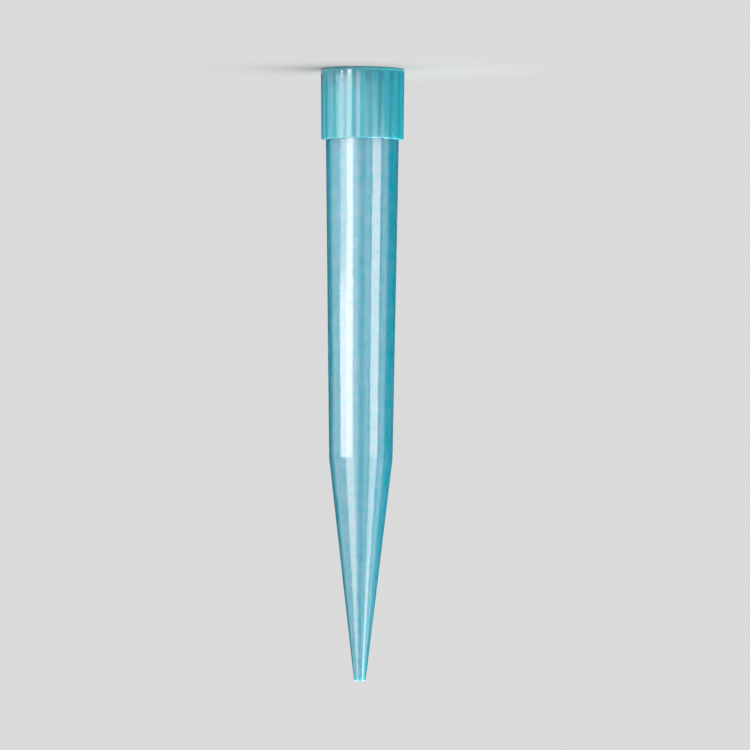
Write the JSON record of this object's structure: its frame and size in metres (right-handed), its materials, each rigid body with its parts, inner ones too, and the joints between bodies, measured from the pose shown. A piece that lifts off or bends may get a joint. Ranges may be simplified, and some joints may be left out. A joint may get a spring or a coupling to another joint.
{
  "type": "pipette tip",
  "caption": "Long hollow pipette tip: ribbed collar round an open mouth, gently tapering body and a slender cone that ends in a fine orifice.",
  "frame": {"origin": "centre of the mouth's rim, which is the foot that the tip stands on", "axes": "+Z along the tip's axis from the mouth to the point; the tip is round, so X and Y only fix the ribs, one of which lies on +X"},
  "size_m": [0.0098, 0.0098, 0.0713],
  "materials": {
    "tip_plastic": "translucent sky-blue polypropylene, glossy as it left the mould"
  },
  "bodies": {
    "root": {"pipette_tip": "tip_plastic"}
  },
  "joints": []
}
